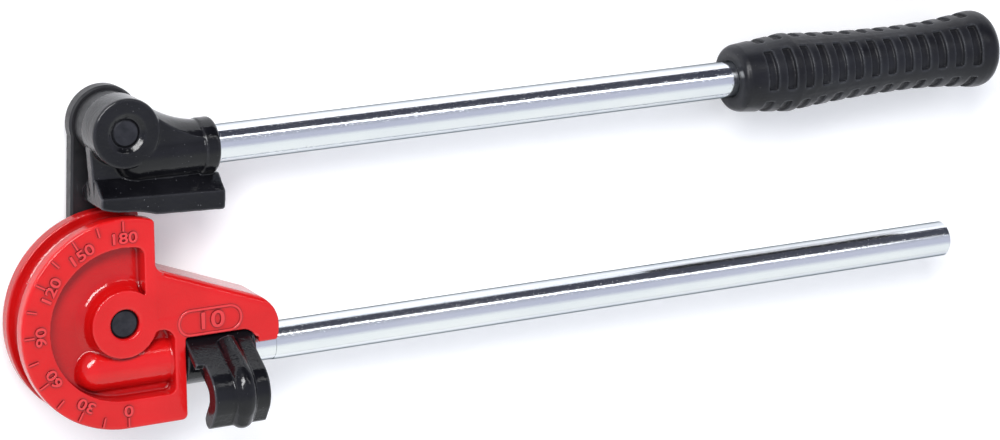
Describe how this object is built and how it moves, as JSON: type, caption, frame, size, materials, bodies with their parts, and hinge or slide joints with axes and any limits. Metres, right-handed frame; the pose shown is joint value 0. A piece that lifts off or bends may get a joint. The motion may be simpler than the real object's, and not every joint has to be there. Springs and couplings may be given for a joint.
{
  "type": "tube bender",
  "caption": "Two-handed lever tube bender: grooved round former with a bend scale, hinged pressing lever with a rubber grip, and a swinging hook that holds the tube.",
  "frame": {"origin": "bend centre: on the former's pivot axis, in the middle plane of the tube's groove", "axes": "+X along the handles towards the grip, +Y from the fixed handle to the lever handle, +Z along the pivot towards the marked face"},
  "size_m": [0.4458, 0.132, 0.0542],
  "materials": {
    "red_paint": "gloss enamel",
    "black_paint": "gloss enamel",
    "link_paint": "satin enamel",
    "plated_tube": "bright zinc plate",
    "pin_steel": "dark oxide",
    "washer_steel": "plain",
    "grip_rubber": "matte"
  },
  "bodies": {
    "former": {"former": "red_paint", "pivot_pin": "pin_steel", "pivot_washer": "washer_steel", "pivot_tail_washer": "washer_steel", "pivot_ring": "pin_steel", "fixed_handle": "plated_tube", "fixed_lock_pin": "pin_steel"},
    "link": {"link_plate": "link_paint"},
    "lever": {"lever_head": "black_paint", "lever_pin": "pin_steel", "lever_spacer": "link_paint", "lever_tail_washer": "washer_steel", "lever_ring": "pin_steel", "lever_handle": "plated_tube", "lever_lock_pin": "pin_steel", "grip": "grip_rubber"},
    "hook": {"hook": "black_paint"}
  },
  "joints": [
    {"name": "link_swing", "type": "hinge", "parent": "former", "child": "link", "pos_m": [0, 0, 0], "axis": [0, 0, 1], "range_deg": [0, 182.6]},
    {"name": "lever_flip", "type": "hinge", "parent": "link", "child": "lever", "pos_m": [0.00336, 0.07392, 0], "axis": [0, 0, 1], "range_deg": [0, 180]},
    {"name": "hook_swing", "type": "hinge", "parent": "former", "child": "hook", "pos_m": [0.04, -0.0184, 0], "axis": [-1, 0, 0], "range_deg": [-57, 0]}
  ]
}
